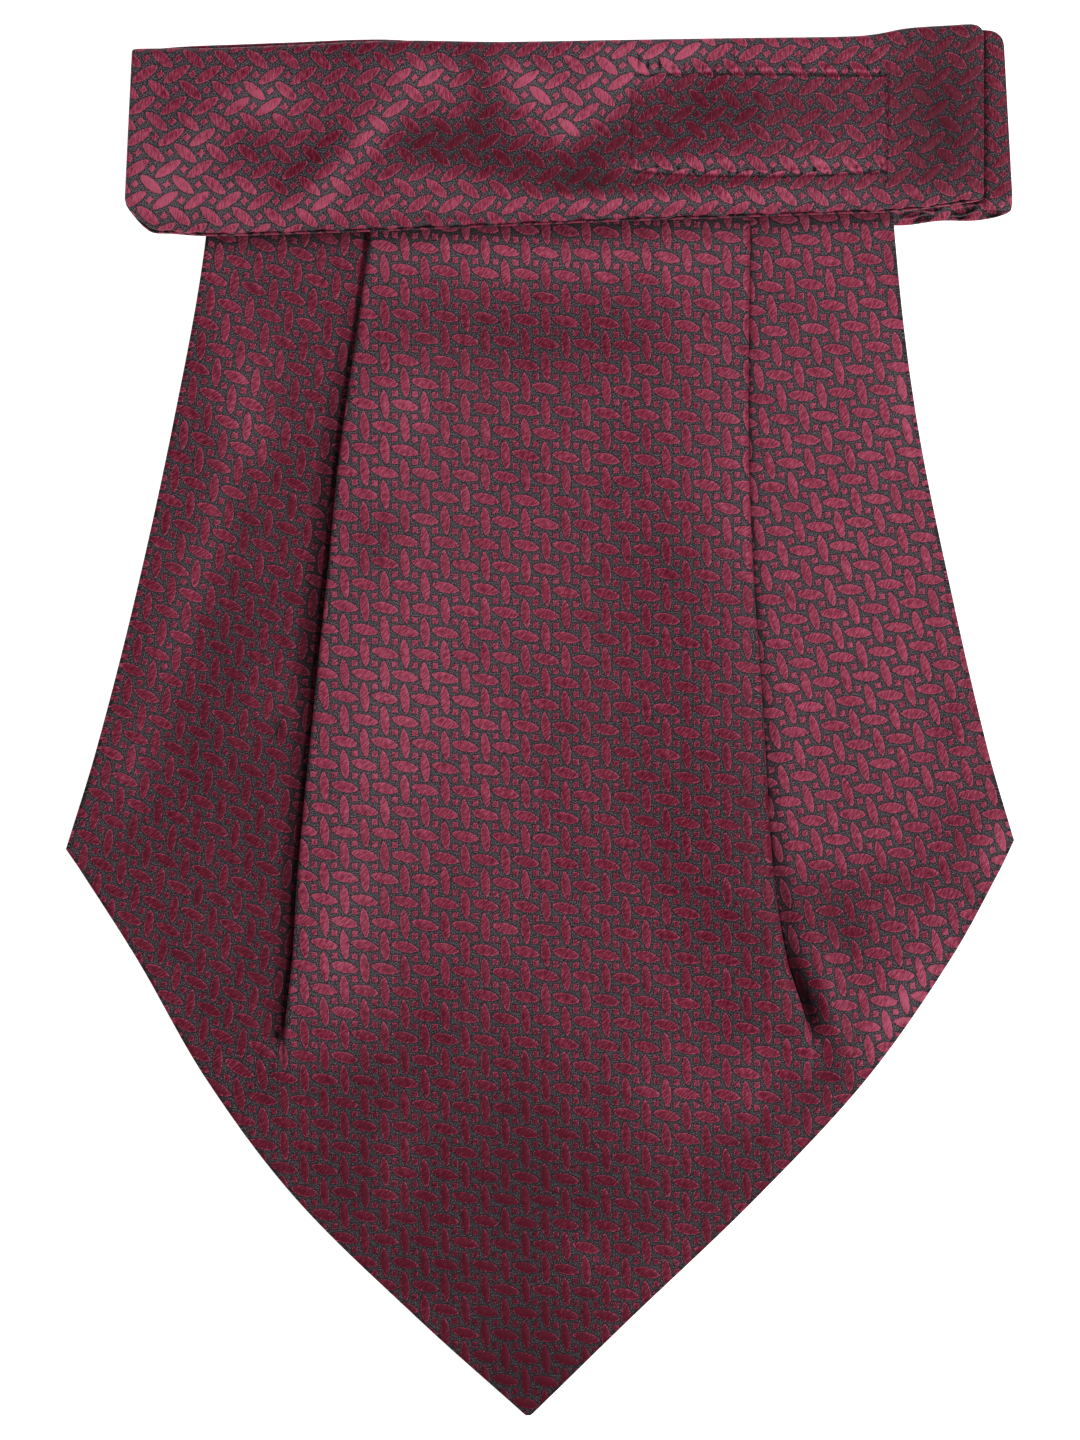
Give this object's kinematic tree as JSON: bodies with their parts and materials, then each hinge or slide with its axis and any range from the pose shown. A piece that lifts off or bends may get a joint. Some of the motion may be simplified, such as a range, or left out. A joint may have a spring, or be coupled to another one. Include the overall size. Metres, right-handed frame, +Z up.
{
  "type": "silk cravat, folded flat",
  "caption": "Self-tie silk cravat folded flat: a pointed blade with pleats beside a raised centre panel, and the neckband folded across its top.",
  "frame": {"origin": "on the table, under the middle of the cravat's outline", "axes": "+X across the blade to the right, +Y from the blade's tip to the neckband, +Z up from the table"},
  "size_m": [0.16, 0.2346, 0.0094],
  "materials": {
    "blade_silk": "jacquard silk, maroon satin floats on a charcoal ground, soft sheen",
    "rear_silk": "jacquard silk, maroon satin floats on a charcoal ground, soft sheen",
    "band_silk": "jacquard silk cut on the bias, maroon satin floats on a charcoal ground, soft sheen",
    "fold_silk": "jacquard silk cut on the bias, maroon satin floats on a charcoal ground, soft sheen"
  },
  "bodies": {
    "root": {"front_blade": "blade_silk", "rear_blade": "rear_silk", "neckband_front": "band_silk", "neckband_back": "fold_silk"}
  },
  "joints": []
}
